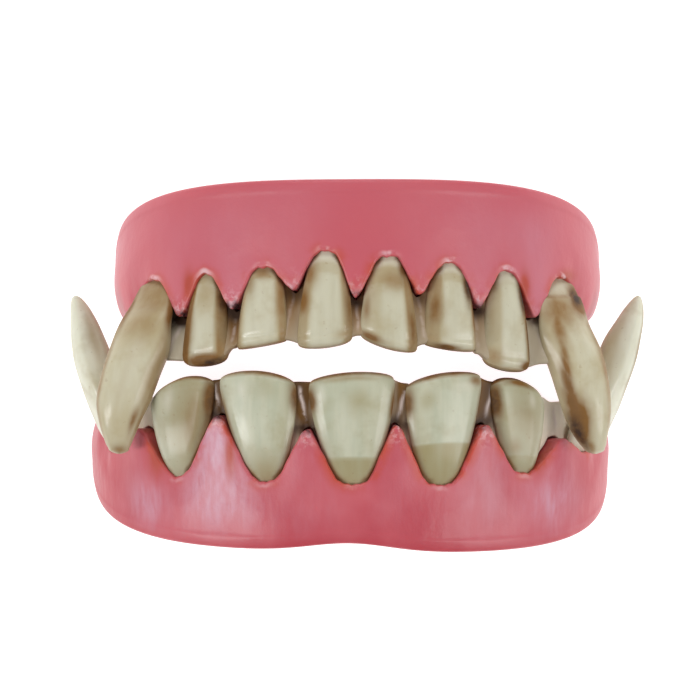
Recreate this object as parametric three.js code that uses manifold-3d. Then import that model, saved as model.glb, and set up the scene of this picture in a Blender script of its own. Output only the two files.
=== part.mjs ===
// Costume false teeth: an upper and a lower plate of moulded gum with set-in teeth, fangs and tusks.
// The plates lie face up, each on the two ends of its arch. Millimetres.
// +X runs to the right across the face, +Y from the lower plate to the upper, +Z out of the mouth.
import * as THREE from "three";
import Module from "manifold-3d";

const wasm = await Module();
wasm.setup();

// Driving dimensions shared by both plates

const FIT_GAP = 0.3; // left between a tooth and the socket or band that it is set in
const FLANGE_WALL = 2.4; // gum wall near the flange's edge
const SHELF_WALL = 4.9; // gum wall behind the teeth, sockets included
const WALL_TAPER_FROM = 6.4; // height above which that wall thins towards the flange
const LIP_ROLL = { atTeeth: 0.5, atEnds: 1.5 }; // rounding of the gum's margin
const ROW_DEPTH = 3.3; // how far the ledge that carries the teeth is cut into the gum
const CHANNEL_WIDTH = 7.6; // room for the wearer's own teeth
const INNER_WALL = 1.8; // wall on the tongue's side of the channel
const SHELF_THICKNESS = 1.8; // biting shelf at the bottom of the channel
const BAND_FRONT = 1.3; // band's front face, behind the gum's outer face
const BAND_BACK = 3.0; // band's back face, short of the ledge's wall
const BAND_MIDDLE = (BAND_FRONT + BAND_BACK) / 2;
const TOOTH_FACING = 0.75; // share of the arch's turn that a tooth takes: under 1 faces it forwards
const NECK_FLAT = 0.2; // share of the way to the next gum point over which a neck's arch is flat
const STATIONS_PER_SPAN = 4; // gum sections from a tooth's neck to the next gum point
const END_STATIONS = 4; // gum sections from the last tooth to the arch's end

// Rows of numbers as objects with named columns.
function table(columns, ...rows) {
  return rows.map((row) => Object.fromEntries(columns.map((name, i) => [name, row[i]])));
}

// Heights run from a plate's neck line towards its flange, so biting edges are negative.
// A tooth's x is where it stands across the face. At its biting edge, lean moves it sideways,
// slant tips the edge and bow draws the edge's corners back.
const TOOTH_COLUMNS = ["name", "x", "neck", "edge", "neckWidth", "edgeWidth", "lean", "slant", "bow"];
const GAP_COLUMNS = ["x", "gum", "web"]; // gum's point between two teeth, and the band's edge there

const UPPER = {
  name: "upper",
  up: 1,
  place: { x: 0.45, y: 7.8 },
  arch: { halfWidth: 30.2, depth: 27 },
  flange: { base: 5.0, rise: 9.6, power: 3.4, notch: 0, notchWidth: 1, deeperRight: 0 },
  shelfBottom: -3.2,
  innerWallTop: 4.6,
  endNeck: { left: 2.0, right: 2.4, x: 24.9 },
  bandEnd: { x: 24.4, height: -6.8 },
  closedFromX: 28.2,
  teeth: table(
    TOOTH_COLUMNS,
    ["upper_tooth_left_3", -18.6, 3.2, -8.0, 3.6, 7.2, 0.1, 0.12, 1.2],
    ["upper_tooth_left_2", -11.6, 3.9, -5.6, 3.8, 7.0, 0.1, 0.1, 0.4],
    ["upper_tooth_left_1", -3.8, 5.8, -5.8, 3.8, 7.2, -0.1, 0.18, 0.8],
    ["upper_tooth_right_1", 3.8, 5.2, -6.1, 3.8, 7.2, 0.3, -0.2, 0.8],
    ["upper_tooth_right_2", 11.2, 4.4, -5.7, 3.8, 6.8, 0.3, -0.1, 0.4],
    ["upper_tooth_right_3", 18.4, 3.5, -8.3, 3.5, 7.0, 0.1, -0.14, 1.1],
  ),
  gaps: table(
    GAP_COLUMNS,
    [-22.0, -1.4, -6.8],
    [-15.1, -0.9, -4.5],
    [-7.8, 1.2, -4.6],
    [-0.2, 0.3, -4.1],
    [7.5, 0.7, -5.3],
    [14.7, -0.9, -6.1],
    [22.0, -1.5, -7.6],
  ),
};

const LOWER = {
  name: "lower",
  up: -1,
  place: { x: -0.45, y: -7.8 },
  arch: { halfWidth: 32.1, depth: 26 },
  flange: { base: 4.0, rise: 10.7, power: 3.9, notch: 1.0, notchWidth: 7, deeperRight: 0.5 },
  shelfBottom: -3.0,
  innerWallTop: 4.6,
  endNeck: { left: 3.0, right: 3.4, x: 28.4 },
  bandEnd: { x: 26.8, height: -3.4 },
  closedFromX: 30.6,
  teeth: table(
    TOOTH_COLUMNS,
    ["lower_tooth_left_2", -20.8, 5.7, -6.5, 3.4, 8.4, 0.7, -0.24, 1.2],
    ["lower_tooth_left_1", -10.5, 6.2, -7.1, 3.8, 9.7, -0.4, 0.04, 1.0],
    ["lower_tooth_middle", 0.4, 6.5, -6.9, 4.4, 11.1, -0.2, 0.0, 1.1],
    ["lower_tooth_right_1", 11.4, 6.6, -6.9, 4.4, 10.2, 0.1, -0.04, 1.0],
    ["lower_tooth_right_2", 21.2, 5.3, -6.2, 3.8, 7.8, -0.6, 0.24, 1.2],
  ),
  gaps: table(
    GAP_COLUMNS,
    [-25.2, 0.0, -4.0],
    [-16.1, -1.6, -5.9],
    [-5.2, 0.0, -5.2],
    [5.8, -0.5, -5.4],
    [16.6, -0.5, -5.9],
    [25.8, 1.0, -3.3],
  ),
};

// Fangs and tusks: ridged sections from the root to the tip. x and width are taken across the face,
// on the left and on the right, z above the surface that the plates lie on, thickness along z.
const HORN_COLUMNS = ["height", "leftX", "leftWidth", "rightX", "rightWidth", "z", "thickness"];

const FANG_SECTIONS = table(
  HORN_COLUMNS,
  [3.3, 23.8, 2.4, 23.3, 2.4, 14.4, 1.6],
  [1.4, 24.3, 3.6, 23.8, 3.4, 15.4, 3.0],
  [-0.4, 24.8, 4.6, 24.3, 4.2, 16.2, 3.7],
  [-2.6, 25.6, 5.6, 25.0, 5.0, 17.0, 4.2],
  [-6.0, 26.6, 6.8, 26.4, 6.0, 17.9, 4.6],
  [-9.1, 27.7, 7.1, 27.1, 6.5, 18.4, 4.6],
  [-12.6, 28.4, 6.6, 27.8, 6.0, 18.6, 4.2],
  [-14.6, 28.6, 5.5, 28.2, 5.1, 18.6, 3.7],
  [-16.8, 28.8, 3.8, 28.6, 3.9, 18.5, 2.8],
  [-18.0, 28.9, 2.5, 28.8, 2.6, 18.4, 1.8],
  [-18.6, 28.9, 1.2, 28.9, 1.3, 18.4, 1.0],
);

const TUSK_SECTIONS = table(
  HORN_COLUMNS,
  [3.4, 27.0, 2.4, 27.6, 2.4, 11.8, 2.0],
  [1.6, 27.8, 4.4, 28.6, 4.4, 11.9, 3.6],
  [-1.6, 29.0, 5.1, 29.9, 5.1, 11.6, 4.2],
  [-5.0, 30.0, 4.8, 31.2, 5.0, 11.0, 4.2],
  [-8.6, 31.1, 4.5, 32.7, 4.7, 10.3, 3.8],
  [-11.0, 32.0, 4.0, 33.7, 4.0, 9.8, 3.2],
  [-13.2, 32.8, 3.2, 34.6, 3.0, 9.3, 2.6],
  [-15.2, 33.5, 1.8, 35.4, 1.6, 8.9, 1.5],
  [-16.0, 33.8, 0.8, 35.7, 0.8, 8.8, 0.8],
);

// A tooth's sections from its root to its biting edge. along: 0 at the neck, 1 at the edge;
// width: 0 is the neck's width, 1 the edge's; front and back: out from the gum's outer face.
const TOOTH_SECTIONS = table(
  ["along", "width", "front", "back"],
  [-0.12, -0.15, -1.5, -2.1],
  [0.0, 0.0, -1.0, -2.2],
  [0.2, 0.36, -0.2, -2.2],
  [0.5, 0.74, 0.4, -2.2],
  [0.86, 1.0, 0.5, -2.1],
  [0.96, 0.94, 0.2, -1.9],
  [1.0, 0.8, -0.4, -1.4],
);

// Unit outlines of the sections, as [across, deep] with deep = 1 in front, run anticlockwise.
// A tooth has a flat front panel between bevels. A fang is ridged on the side of the other teeth,
// a tusk on its outer side; both are given for the right of the face.
const TOOTH_OUTLINE = [
  [1, 0],
  [0.88, 0.55],
  [0.6, 0.98],
  [0, 1.05],
  [-0.6, 0.98],
  [-0.88, 0.55],
  [-1, 0],
  [-0.92, -0.65],
  [-0.6, -1],
  [0, -1.02],
  [0.6, -1],
  [0.92, -0.65],
];
const FANG_OUTLINE = [
  [1, -0.1],
  [0.88, 0.5],
  [0.5, 0.9],
  [0, 1],
  [-0.45, 0.88],
  [-0.75, 0.4],
  [-1, -0.2],
  [-0.8, -0.75],
  [-0.35, -1],
  [0.2, -1.02],
  [0.65, -0.85],
  [0.92, -0.5],
];
const TUSK_OUTLINE = [
  [1, -0.15],
  [0.75, 0.55],
  [0.4, 0.98],
  [0.1, 0.95],
  [-0.35, 0.75],
  [-0.8, 0.4],
  [-1, -0.1],
  [-0.85, -0.7],
  [-0.4, -1],
  [0.1, -1.02],
  [0.55, -0.9],
  [0.88, -0.6],
];

const GUM = { color: 0xc8687a, roughness: 0.35, metalness: 0 };
const IVORY = { color: 0xc6c0a2, roughness: 0.3, metalness: 0 };
const WEB = { color: 0x8c7a60, roughness: 0.35, metalness: 0 };

const { mapLinear, lerp, smoothstep } = THREE.MathUtils;

// The arch

// The arch is half an ellipse; turn is its angle from the middle, out the distance from the gum's outer face.
function archPoint({ halfWidth, depth }, turn, out, y) {
  const normal = archNormal({ halfWidth, depth }, turn).multiplyScalar(out);
  return new THREE.Vector3(halfWidth * Math.sin(turn), y, depth * Math.cos(turn)).add(normal);
}

function archNormal({ halfWidth, depth }, turn) {
  return new THREE.Vector3(depth * Math.sin(turn), 0, halfWidth * Math.cos(turn)).normalize();
}

function turnAt(plate, x) {
  return Math.asin(x / plate.arch.halfWidth);
}

// A height along the arch that passes through the rows' {x, height}: flat over the higher row of a
// pair, as the gum is round a tooth's neck, then steep, and smooth at the lower row.
function alongArch(rows, x) {
  const next = rows.findIndex((row) => row.x >= x);
  if (next < 0) return rows.at(-1).height;
  if (next === 0) return rows[0].height;
  const [high, low] = [rows[next - 1], rows[next]].sort((a, b) => b.height - a.height);
  return lerp(high.height, low.height, smoothstep(mapLinear(x, high.x, low.x, 0, 1), NECK_FLAT, 1));
}

// The gum's margin: high at each tooth's neck, low at each point between teeth, closed at the arch's ends.
function marginRows(plate) {
  const closed = plate.shelfBottom + 2 * FIT_GAP;
  return [
    { x: -plate.closedFromX, height: closed },
    { x: -plate.endNeck.x, height: plate.endNeck.left },
    ...plate.teeth.map(({ x, neck }) => ({ x, height: neck })),
    ...plate.gaps.map(({ x, gum }) => ({ x, height: gum })),
    { x: plate.endNeck.x, height: plate.endNeck.right },
    { x: plate.closedFromX, height: closed },
  ].sort((a, b) => a.x - b.x);
}

// The band's free edge: shy of each tooth's biting edge, at its own height between teeth.
function bandEdgeRows(plate) {
  const shyOfEdge = 1.2;
  return [
    { x: -plate.bandEnd.x, height: plate.bandEnd.height },
    ...plate.teeth.map(({ x, edge }) => ({ x, height: edge + shyOfEdge })),
    ...plate.gaps.map(({ x, web }) => ({ x, height: web })),
    plate.bandEnd,
  ].sort((a, b) => a.x - b.x);
}

// The flange's edge is a superellipse seen from the front, with a shallow notch in the middle
// and, where the plate is lopsided, deeper to the right.
function flangeHeight({ flange, arch }, turn) {
  const across = Math.abs(Math.sin(turn));
  const outline = Math.max(0, 1 - across ** flange.power) ** (1 / flange.power);
  const x = arch.halfWidth * Math.sin(turn);
  const notch = flange.notch * Math.exp(-((x / flange.notchWidth) ** 2));
  return flange.base + flange.rise * outline - notch + flange.deeperRight * Math.sin(turn);
}

// Turns at which the sections stand: at every row, between rows, and on to the arch's two ends.
function stationTurns(plate, rows, toEnds) {
  const turns = rows.map((row) => turnAt(plate, row.x));
  const stations = [];
  const fill = (from, to, count) => {
    for (let i = 0; i < count; i++) stations.push(lerp(from, to, i / count));
  };
  if (toEnds) fill(-Math.PI / 2, turns[0], END_STATIONS);
  for (let i = 0; i + 1 < turns.length; i++) fill(turns[i], turns[i + 1], STATIONS_PER_SPAN);
  if (toEnds) fill(turns.at(-1), Math.PI / 2, END_STATIONS);
  stations.push(toEnds ? Math.PI / 2 : turns.at(-1));
  return stations;
}

// Closed solids

// Joins rings of points, all of one length, into a closed surface that faces out.
// outline gives the first and last ring as flat points, to fill the two ends.
function loft(rings, outline) {
  const sides = rings[0].length;
  const positions = rings.flat().flatMap((point) => point.toArray());
  const triangles = [];
  for (let r = 0; r + 1 < rings.length; r++) {
    for (let i = 0; i < sides; i++) {
      const [a, b] = [r * sides + i, r * sides + ((i + 1) % sides)];
      triangles.push([a, b, b + sides], [a, b + sides, a + sides]);
    }
  }
  const lastRing = (rings.length - 1) * sides;
  for (const [a, b, c] of THREE.ShapeUtils.triangulateShape(outline, [])) {
    triangles.push([c, b, a], [lastRing + a, lastRing + b, lastRing + c]);
  }
  const geometry = new THREE.BufferGeometry();
  geometry.setAttribute("position", new THREE.Float32BufferAttribute(positions, 3));
  const inwards = signedVolume(rings.flat(), triangles) < 0;
  geometry.setIndex(triangles.flatMap(([a, b, c]) => (inwards ? [a, c, b] : [a, b, c])));
  return geometry;
}

function signedVolume(points, triangles) {
  const cross = new THREE.Vector3();
  return triangles.reduce(
    (sum, [a, b, c]) => sum + cross.crossVectors(points[b], points[c]).dot(points[a]) / 6,
    0,
  );
}

function toSolid(geometry) {
  return new wasm.Manifold(
    new wasm.Mesh({
      numProp: 3,
      vertProperties: geometry.getAttribute("position").array,
      triVerts: new Uint32Array(geometry.index.array),
    }),
  );
}

function toGeometry(solid) {
  const { vertProperties, triVerts } = solid.getMesh();
  const geometry = new THREE.BufferGeometry();
  geometry.setAttribute("position", new THREE.BufferAttribute(vertProperties, 3));
  geometry.setIndex(new THREE.BufferAttribute(triVerts, 1));
  return geometry;
}

function cutBy(geometry, cutters) {
  return toGeometry(cutters.reduce((solid, cutter) => solid.subtract(toSolid(cutter)), toSolid(geometry)));
}

function sizedOutline(outline, across, deep) {
  return outline.map(([u, v]) => new THREE.Vector2(u * across, v * deep));
}

// Gum: wall, flange, biting shelf and inner wall, carried round the arch

function gumSection(plate, turn, margin) {
  const x = plate.arch.halfWidth * Math.sin(turn);
  const lip = alongArch(margin, x);
  const edge = flangeHeight(plate, turn);
  const shelfTop = plate.shelfBottom + SHELF_THICKNESS;
  const innerFace = SHELF_WALL + CHANNEL_WIDTH;
  const atEnd = smoothstep(Math.abs(x), plate.endNeck.x, plate.closedFromX);
  const roll = lerp(LIP_ROLL.atTeeth, LIP_ROLL.atEnds, atEnd);
  return [
    [-ROW_DEPTH, lip],
    [-roll, lip],
    [0.05 - roll / 4, lip + roll],
    [0.15 * (1 - atEnd), lip + roll + 0.9],
    [0, lerp(lip, edge, 0.45)],
    [-0.2, lerp(lip, edge, 0.75)],
    [-0.6, edge - 0.8],
    [-1.2, edge],
    [-2.0, edge - 0.4],
    [-FLANGE_WALL, edge - 1.6],
    [-SHELF_WALL, Math.min(WALL_TAPER_FROM, edge - 3)],
    [-SHELF_WALL, shelfTop],
    [-innerFace, shelfTop],
    [-innerFace, plate.innerWallTop],
    [-innerFace - INNER_WALL, plate.innerWallTop],
    [-innerFace - INNER_WALL, plate.shelfBottom],
    [-ROW_DEPTH, plate.shelfBottom],
  ].map(([out, height]) => new THREE.Vector2(out, height));
}

function gumGeometry(plate) {
  const margin = marginRows(plate);
  const turns = stationTurns(plate, margin, true);
  const sections = turns.map((turn) => gumSection(plate, turn, margin));
  const rings = sections.map((section, i) =>
    section.map(({ x: out, y: height }) => archPoint(plate.arch, turns[i], out, plate.up * height)),
  );
  return loft(rings, sections[0]);
}

// Band: the web between the teeth, which also backs them

function bandSection(top, edge) {
  return [
    [-BAND_BACK, top],
    [-BAND_BACK, edge + 0.5],
    [-BAND_MIDDLE, edge],
    [-BAND_FRONT, edge + 0.7],
    [-BAND_FRONT, top],
  ].map(([out, height]) => new THREE.Vector2(out, height));
}

function bandGeometry(plate) {
  const margin = marginRows(plate);
  const edges = bandEdgeRows(plate);
  const turns = stationTurns(plate, edges, false);
  const sections = turns.map((turn) => {
    const top = alongArch(margin, archPoint(plate.arch, turn, 0, 0).x) - FIT_GAP;
    return bandSection(top, alongArch(edges, archPoint(plate.arch, turn, -BAND_MIDDLE, 0).x));
  });
  const rings = sections.map((section, i) =>
    section.map(({ x: out, y: height }) => archPoint(plate.arch, turns[i], out, plate.up * height)),
  );
  return loft(rings, sections[0]);
}

// Teeth, fangs and tusks; grow makes the larger copy that cuts a socket

function toothGeometry(plate, tooth, grow) {
  const turn = turnAt(plate, tooth.x);
  const facing = TOOTH_FACING * turn;
  const across = new THREE.Vector3(Math.cos(facing), 0, -Math.sin(facing));
  const forward = new THREE.Vector3(Math.sin(facing), 0, Math.cos(facing));
  const foot = archPoint(plate.arch, turn, 0, 0);
  const last = TOOTH_SECTIONS.length - 1;
  const rings = TOOTH_SECTIONS.map(({ along, width, front, back }, i) => {
    const growUp = i === 0 ? grow : i === last ? -grow : 0;
    const height = lerp(tooth.neck, tooth.edge, along) + growUp;
    const half = lerp(tooth.neckWidth, tooth.edgeWidth, width) / 2 + grow;
    const section = sizedOutline(TOOTH_OUTLINE, half, (front - back) / 2 + grow);
    return section.map(({ x: u, y: v }) => {
      const edgeShape = along * (tooth.slant * u + tooth.bow * (u / half) ** 2);
      return new THREE.Vector3(0, plate.up * (height + edgeShape), 0)
        .add(foot)
        .addScaledVector(across, u + tooth.lean * along)
        .addScaledVector(forward, (front + back) / 2 + v);
    });
  });
  return loft(rings, sizedOutline(TOOTH_OUTLINE, 1, 1));
}

function hornGeometry(plate, { sections, outline }, side, grow) {
  const sign = side === "left" ? -1 : 1;
  const last = sections.length - 1;
  const rings = sections.map((row, i) => {
    const growUp = i === 0 ? grow : i === last ? -grow : 0;
    const section = sizedOutline(outline, row[`${side}Width`] / 2 + grow, row.thickness / 2 + grow);
    return section.map(
      ({ x: u, y: v }) =>
        new THREE.Vector3(sign * (row[`${side}X`] + u), plate.up * (row.height + growUp), row.z + v),
    );
  });
  return loft(rings, sizedOutline(outline, 1, 1));
}

// One plate: its gum and band with sockets cut for every tooth, and the teeth in them

function buildPlate(plate, horn) {
  const group = new THREE.Group();
  const addPiece = (name, geometry, look) => {
    const mesh = new THREE.Mesh(geometry, new THREE.MeshStandardMaterial(look));
    mesh.name = name;
    group.add(mesh);
  };
  const makers = plate.teeth.map((tooth) => ({
    name: tooth.name,
    make: (grow) => toothGeometry(plate, tooth, grow),
  }));
  for (const side of ["left", "right"]) {
    const make = (grow) => hornGeometry(plate, horn, side, grow);
    makers.push({ name: `${plate.name}_${horn.name}_${side}`, make });
  }
  const cutters = makers.map(({ make }) => make(FIT_GAP));
  addPiece(`${plate.name}_gum`, cutBy(gumGeometry(plate), cutters), GUM);
  addPiece(`${plate.name}_tooth_band`, cutBy(bandGeometry(plate), cutters), WEB);
  for (const { name, make } of makers) addPiece(name, make(0), IVORY);
  group.position.set(plate.place.x, plate.place.y, 0);
  return group;
}

// The set lies with its origin in the middle of its footprint

const set = new THREE.Group();
const fang = { name: "fang", sections: FANG_SECTIONS, outline: FANG_OUTLINE };
const tusk = { name: "tusk", sections: TUSK_SECTIONS, outline: TUSK_OUTLINE };
set.add(buildPlate(UPPER, fang), buildPlate(LOWER, tusk));
const middle = new THREE.Box3().setFromObject(set).getCenter(new THREE.Vector3());
const teeth = new THREE.Group();
set.position.set(-middle.x, -middle.y, 0);
teeth.add(set);

export default teeth;
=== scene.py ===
"""Costume false teeth: an upper and a lower gum plate with stained teeth, long fangs and tusks."""

import math
from collections import namedtuple
from types import SimpleNamespace

import bpy
import numpy as np
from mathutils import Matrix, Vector


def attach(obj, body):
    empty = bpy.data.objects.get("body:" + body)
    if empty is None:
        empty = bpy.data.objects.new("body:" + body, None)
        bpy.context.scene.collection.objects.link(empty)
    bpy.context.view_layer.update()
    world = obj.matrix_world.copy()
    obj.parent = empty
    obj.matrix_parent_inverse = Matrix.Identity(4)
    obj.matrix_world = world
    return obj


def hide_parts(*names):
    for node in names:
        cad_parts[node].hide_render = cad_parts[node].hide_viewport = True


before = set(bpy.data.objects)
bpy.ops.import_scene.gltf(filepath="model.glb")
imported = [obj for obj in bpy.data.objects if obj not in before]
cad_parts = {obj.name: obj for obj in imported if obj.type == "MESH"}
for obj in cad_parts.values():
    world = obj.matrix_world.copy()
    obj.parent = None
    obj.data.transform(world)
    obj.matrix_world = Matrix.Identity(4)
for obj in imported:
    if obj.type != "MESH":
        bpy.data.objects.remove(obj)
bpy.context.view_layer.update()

bl_info = {
    "name": "Costume false teeth",
    "version": (1, 0, 0),
    "blender": (4, 5, 0),
    "location": "View3D > Sidebar > False teeth",
    "description": "Builds a monster-style set of false teeth around its packed solids",
    "category": "Object",
}

MM = 0.001

# Lengths below are in millimetres. A plate is measured from its own arch: x across the face, height up
# from the plate's datum towards its flange, and out from the arch's outer face, along its normal. A fade or
# a rise is the two ends of a smoothstep.

Tooth = namedtuple(
    "Tooth",
    "name x neck edge neck_width edge_width lean slant bow corner panel_left panel_right flat",
)
Gap = namedtuple("Gap", "x gum web_x web grime brown glint bloom")
Patch = namedtuple("Patch", "x height x_reach height_reach")
Stain = namedtuple("Stain", "collar band band_end left right edge")
Spot = namedtuple("Spot", "along side along_reach side_reach tan brown dark pale", defaults=(0.0,) * 4)
Horn = namedtuple("Horn", "height left_x left_width right_x right_width z thickness")

UPPER = SimpleNamespace(
    name="upper",
    up=1,
    middle_x=0.0,
    datum_y=7.895,
    half_width=30.25,
    depth=27.0,
    flange_base=5.0,
    flange_rise=9.55,
    flange_power=3.4,
    notch=0.0,
    notch_width=7.0,
    deeper_right=0.1,
    fuller_right=-0.1,
    shelf_bottom=-3.2,
    inner_wall_top=4.6,
    end_x=24.9,
    end_left=2.5,
    end_right=2.8,
    end_flat=0.2,
    neck_lit=1.0,
    end_lit=1.0,
    closed_x=29.2,
    brushed=0.1,
    band_x=24.4,
    band_height=-6.9,
    band_front=0.3,
    web_fade=0.8,
    swell_x=24.0,
    swell_left=1.4,
    swell_right=3.4,
    bevel_soft=0.14,
    bulge=0.2,
    panel_round=0.3,
    crease=0.08,
    neck_arch=0.1,
    teeth=(
        # name, x, neck, edge, neck width, edge width, lean, slant, bow, corner, panel left, right, flat
        Tooth("left_3", -18.4, 3.2, -8.0, 3.6, 6.7, -0.4, 0.09, 0.5, 0.6, 0.5, 0.55, 0.0),
        Tooth("left_2", -11.4, 3.9, -5.6, 3.8, 6.6, -0.3, 0.17, 0.1, 0.1, 0.66, 0.66, 0.45),
        Tooth("left_1", -3.8, 5.8, -5.8, 3.8, 7.0, -0.2, 0.11, 0.4, 0.3, 0.53, 0.65, 0.6),
        Tooth("right_1", 3.8, 5.2, -5.95, 3.8, 7.3, 0.0, -0.27, 0.5, 0.2, 0.3, 0.58, 0.6),
        Tooth("right_2", 11.2, 4.4, -6.05, 3.8, 6.7, 0.0, -0.14, 0.2, 0.1, 0.36, 0.82, 0.45),
        Tooth("right_3", 18.1, 3.5, -8.55, 3.5, 6.6, 0.1, -0.18, 0.5, 0.5, 0.3, 0.78, 0.3),
    ),
    gaps=(
        # x, gum, web x, web, soiling and painted shade, brown, glint, lilac tint and painted sheen
        Gap(-21.5, -2.0, -22.8, -7.3, 1.2, 0.1, 0.6, 0.2),
        Gap(-15.1, -1.1, -15.2, -5.85, 1.4, 1.2, 0.4, 0.3),
        Gap(-7.8, 1.2, -8.9, -4.85, 0.7, 0.9, 0.3, 0.2),
        Gap(-0.2, 0.3, 0.15, -4.3, 1.0, 1.0, 0.4, 0.0),
        Gap(7.5, 0.7, 8.2, -5.35, 0.5, 0.7, 0.3, 0.1),
        Gap(14.7, -0.9, 14.6, -6.5, 1.0, 0.7, 0.2, 0.3),
        Gap(21.6, -2.1, 22.1, -7.7, 0.2, 0.2, 0.2, 0.5),
    ),
    # Painted red shade: warm bounce light in the shade beside some necks.
    red_shade_patches=(
        # x, height, x reach, height reach
        Patch(-20.4, 2.0, 0.6, 1.6),
        Patch(20.2, 1.6, 0.6, 1.8),
        Patch(25.6, 3.0, 1.2, 0.8),
    ),
    lilac_sheen_patches=(),
    stains={
        # collar, band, band end, left, right, edge
        "left_3": Stain(0.0, 0.6, 0.1, 1.1, 0.9, 0.6),
        "left_2": Stain(0.2, 0.8, 0.12, 0.7, 0.8, 0.5),
        "left_1": Stain(0.9, 0.4, 0.22, 0.7, 0.8, 0.4),
        "right_1": Stain(0.8, 0.7, 0.28, 0.4, 0.9, 0.5),
        "right_2": Stain(0.9, 0.5, 0.2, 0.8, 0.6, 0.6),
        "right_3": Stain(0.7, 0.3, 0.12, 0.5, 1.1, 0.6),
    },
    spots={
        # along, side, along reach, side reach, tan, brown, dark, pale
        "left_3": (
            Spot(0.94, 0.1, 0.075, 0.8, 0.3, 1.4, 0.4),
            Spot(0.97, 0.4, 0.04, 0.5, 0.0, 1.0, 1.2),
            Spot(0.6, -0.8, 0.4, 0.3, 0.4, 1.2, 0.5),
            Spot(0.55, 0.85, 0.35, 0.25, 0.3, 0.9, 0.2),
            Spot(0.2, 0.0, 0.2, 0.8, 0.5, 0.2),
            Spot(0.3, 0.85, 0.15, 0.2, 0.0, 1.3, 0.9),
        ),
        "left_2": (
            Spot(0.06, -0.1, 0.08, 0.7, 0.5, 0.7),
            Spot(0.75, -0.95, 0.25, 0.12, 0.0, 1.0, 0.6),
            Spot(0.45, 0.85, 0.3, 0.22, 0.3, 0.8),
            Spot(0.2, -0.7, 0.15, 0.3, 0.5, 0.7, 0.1),
        ),
        "left_1": (
            Spot(0.22, -0.7, 0.14, 0.35, 0.7, 0.8),
            Spot(0.52, -0.85, 0.16, 0.25, 0.3, 0.9, 0.1),
            Spot(0.6, 0.9, 0.3, 0.18, 0.0, 1.1, 0.3),
            Spot(0.88, 0.7, 0.06, 0.3, 0.5, 0.4),
        ),
        "right_1": (
            Spot(0.25, 0.3, 0.12, 0.7, 0.5, 0.5),
            Spot(0.45, -0.75, 0.25, 0.3, 0.4, 0.2),
            Spot(0.6, -0.8, 0.16, 0.14, 0.3, 0.8, 0.1),
            Spot(0.93, -0.6, 0.05, 0.4, 0.2, 1.0, 0.3),
            Spot(0.75, 0.82, 0.25, 0.16, 0.0, 1.1, 0.3),
            Spot(0.14, 0.75, 0.1, 0.25, 0.0, 1.3, 0.7),
        ),
        "right_2": (
            Spot(0.55, -0.65, 0.25, 0.28, 0.5, 1.0, 0.25),
            Spot(0.97, -0.2, 0.035, 0.5, 0.0, 1.3, 0.7),
            Spot(0.5, 0.95, 0.4, 0.12, 0.5, 1.1, 0.5),
            Spot(0.8, -0.5, 0.1, 0.4, 0.5, 0.2),
            Spot(0.27, 0.85, 0.2, 0.2, 0.0, 1.4, 1.2),
        ),
        "right_3": (
            Spot(0.9, -0.6, 0.1, 0.35, 0.5, 0.8),
            Spot(0.5, -0.7, 0.3, 0.3, 0.6, 0.3),
            Spot(0.55, 0.92, 0.4, 0.16, 0.0, 1.2, 0.8),
            Spot(0.94, 0.75, 0.05, 0.25, 0.0, 1.3, 0.5),
            Spot(0.27, 0.85, 0.2, 0.2, 0.0, 1.4, 1.2),
            Spot(0.12, -0.8, 0.08, 0.25, 0.0, 1.2, 0.9),
            Spot(0.86, 1.0, 0.08, 0.15, 0.0, 1.3, 1.0),
        ),
    },
)

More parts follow.
